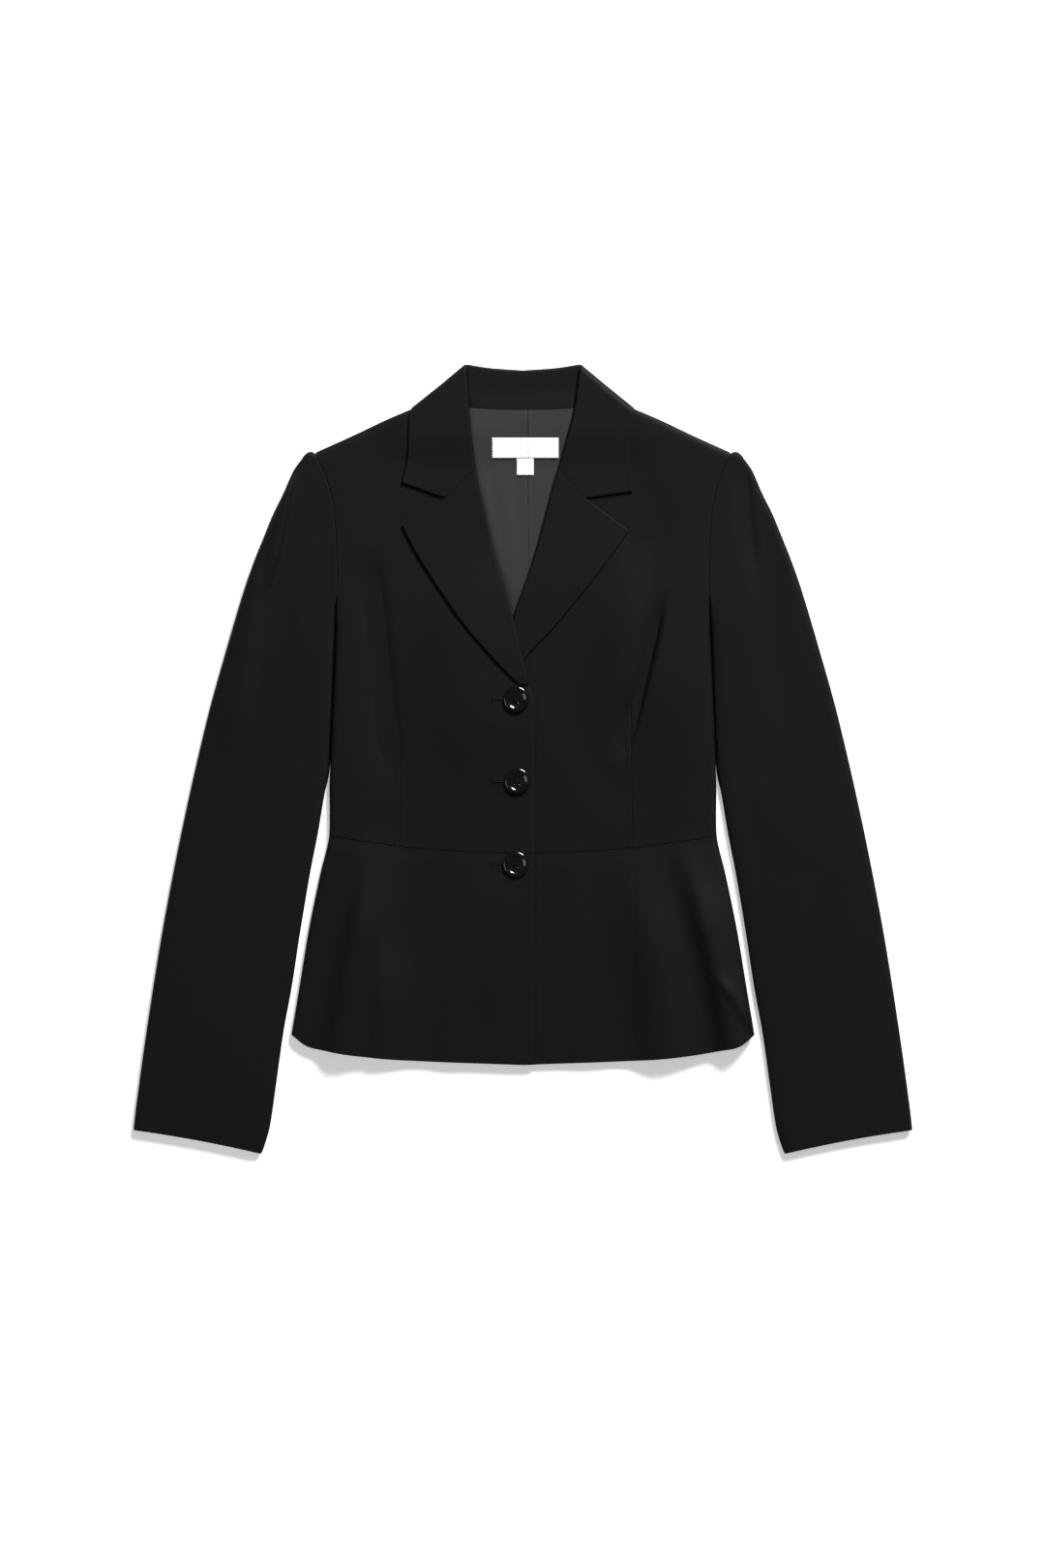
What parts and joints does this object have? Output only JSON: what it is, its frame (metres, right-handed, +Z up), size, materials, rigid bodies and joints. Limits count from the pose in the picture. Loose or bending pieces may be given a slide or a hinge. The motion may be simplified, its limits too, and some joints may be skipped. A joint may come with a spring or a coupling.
{
  "type": "peplum jacket laid flat",
  "caption": "Fitted notch-lapel jacket with long two-piece sleeves and a flared peplum, buttoned and laid flat on its back.",
  "frame": {"origin": "on the surface the jacket lies on, under the middle of its outline", "axes": "+Z up out of the surface through the front of the jacket, +Y to the collar, +X to the wearer's left"},
  "size_m": [0.7012, 0.7104, 0.0145],
  "materials": {
    "suiting": "matte black wool-blend suiting",
    "lining": "dark grey satin lining",
    "label": "white woven satin, blank",
    "buttons": "polished black-brown horn-look resin"
  },
  "bodies": {
    "root": {"back_bodice": "suiting", "back_peplum": "suiting", "lining_back": "lining", "front_bodice_right": "suiting", "front_bodice_left": "suiting", "front_peplum_right": "suiting", "front_peplum_left": "suiting", "lapel_right": "suiting", "lapel_left": "suiting", "collar": "suiting", "sleeve_right_upper": "suiting", "sleeve_right_under": "suiting", "sleeve_left_upper": "suiting", "sleeve_left_under": "suiting", "label": "label", "size_tab": "label", "button_top": "buttons", "button_middle": "buttons", "button_bottom": "buttons"}
  },
  "joints": []
}
